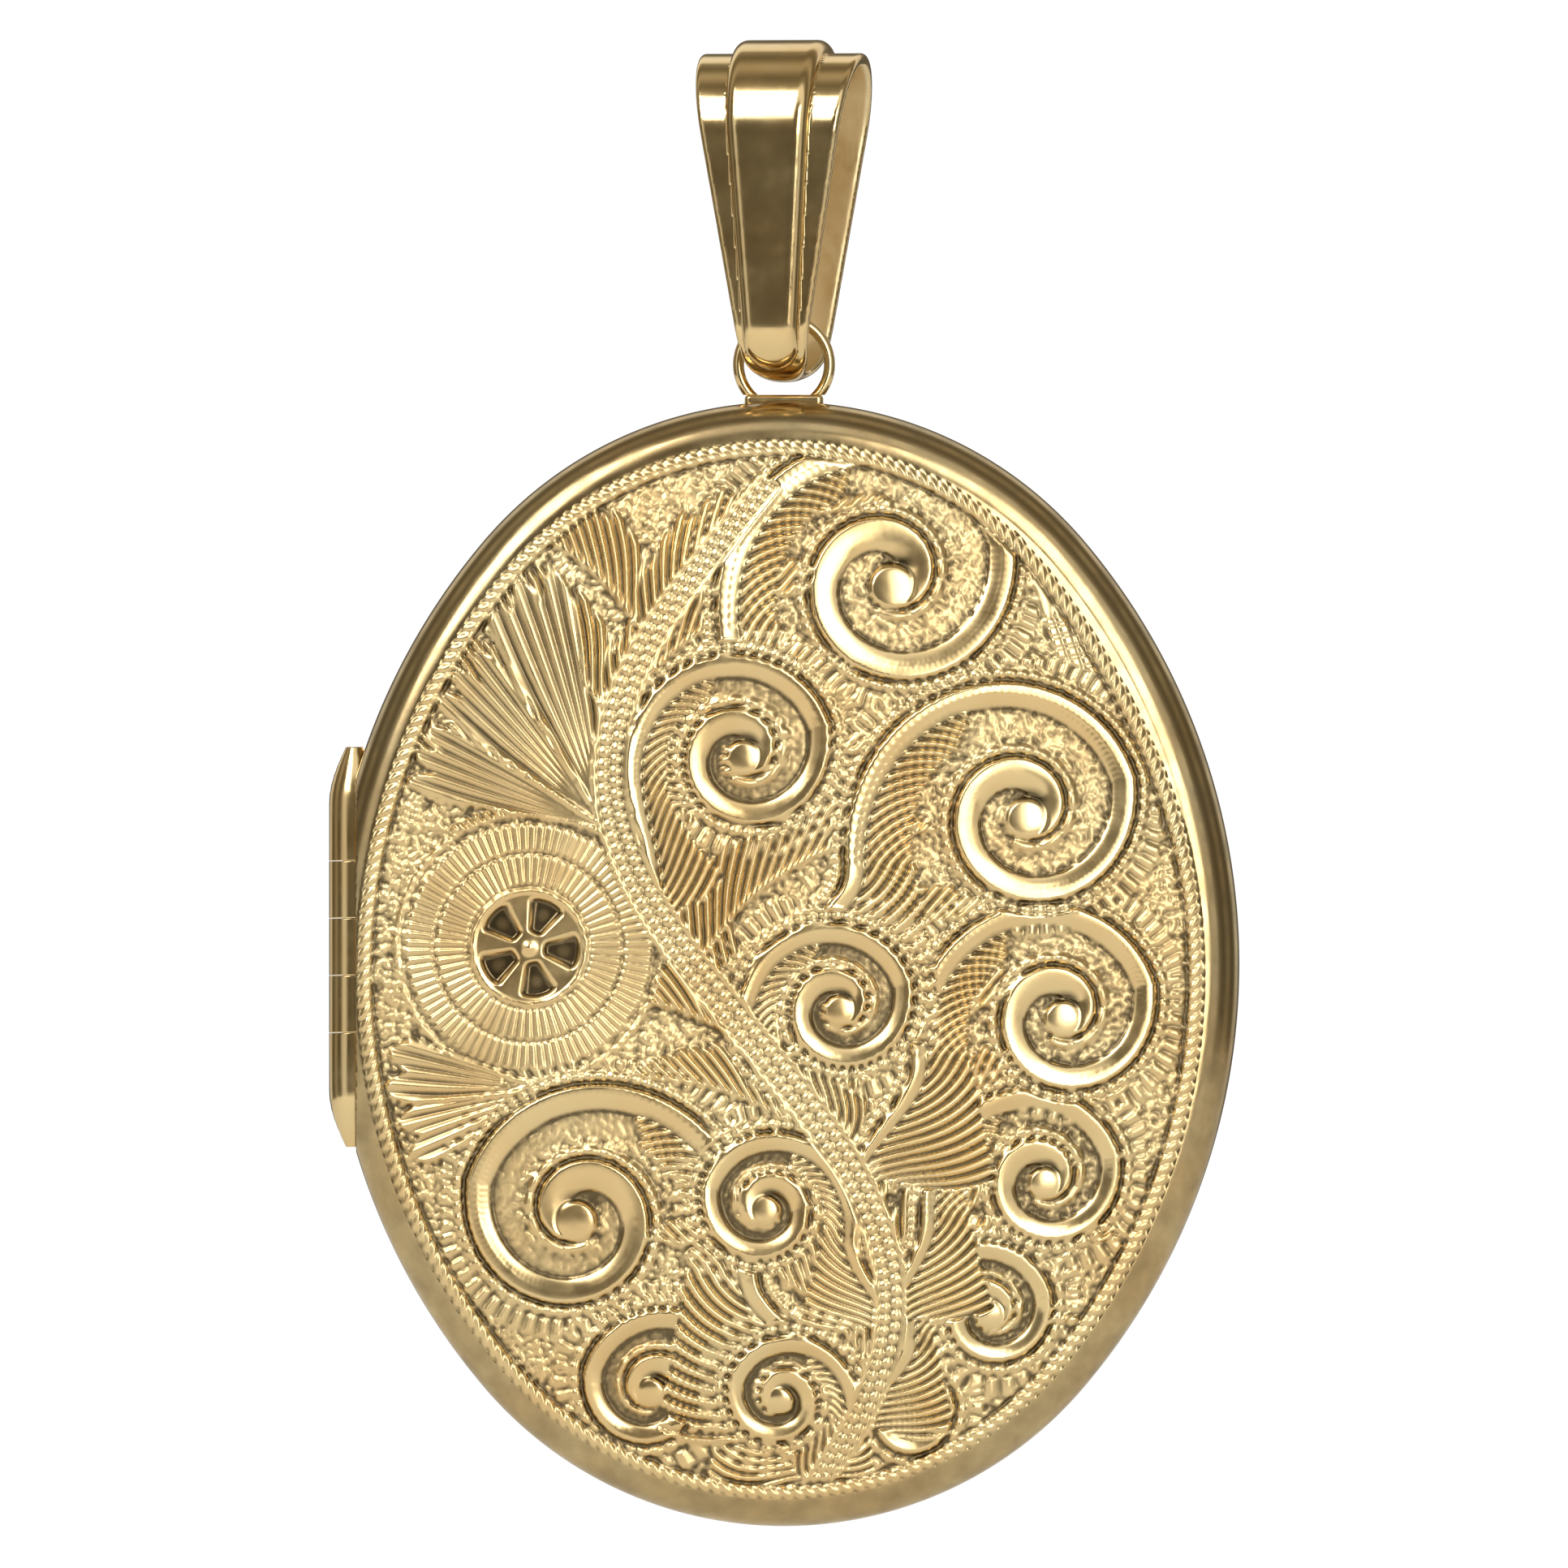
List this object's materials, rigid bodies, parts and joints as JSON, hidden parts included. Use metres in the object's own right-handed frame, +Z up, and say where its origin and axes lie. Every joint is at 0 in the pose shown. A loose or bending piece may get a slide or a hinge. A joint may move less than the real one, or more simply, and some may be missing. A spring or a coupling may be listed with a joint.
{
  "type": "oval hinged locket",
  "caption": "Oval hinged photo locket with a scroll-engraved front, polished border, side barrel hinge, snap lip, framed picture wells and a tapered folded bail.",
  "frame": {"origin": "highest point inside the bail's loop, where the chain bears", "axes": "front of the closed case faces -Y, +X is right as the front is seen, +Z is up towards the chain"},
  "size_m": [0.0324, 0.007, 0.0529],
  "materials": {
    "engraved_gold": "bright-cut scroll engraving on yellow gold, darker patina in the cuts, polished border",
    "polished_gold": "polished pale yellow gold with fine wear scratches",
    "bail_gold": "polished pale yellow gold, satin inside",
    "satin_gold": "satin yellow gold, unpolished inner faces",
    "clear_window": "clear thin plastic sheet",
    "blank_card": "matt cream card"
  },
  "bodies": {
    "bail": {"bail": "bail_gold"},
    "case": {"back_cover": "polished_gold", "back_seat": "satin_gold", "closing_lip": "satin_gold", "catch_bead": "satin_gold", "back_photo_frame": "polished_gold", "back_window": "clear_window", "back_card": "blank_card", "back_hinge_bearer": "satin_gold", "back_knuckle_top": "polished_gold", "back_knuckle_middle": "polished_gold", "back_knuckle_bottom": "polished_gold", "hinge_pin": "satin_gold", "ring_saddle": "polished_gold", "bail_ring": "polished_gold"},
    "cover": {"front_cover": "engraved_gold", "front_seat": "satin_gold", "front_photo_frame": "polished_gold", "front_window": "clear_window", "front_card": "blank_card", "front_hinge_bearer": "satin_gold", "front_knuckle_upper": "polished_gold", "front_knuckle_lower": "polished_gold"}
  },
  "joints": [
    {"name": "bail_swing", "type": "hinge", "parent": "bail", "child": "case", "pos_m": [0, 0, -0.009], "axis": [1, 0, 0], "range_deg": [-30, 30]},
    {"name": "cover_hinge", "type": "hinge", "parent": "case", "child": "cover", "pos_m": [-0.0153, 0, -0.03136], "axis": [0, 0, -1], "range_deg": [0, 170]}
  ]
}
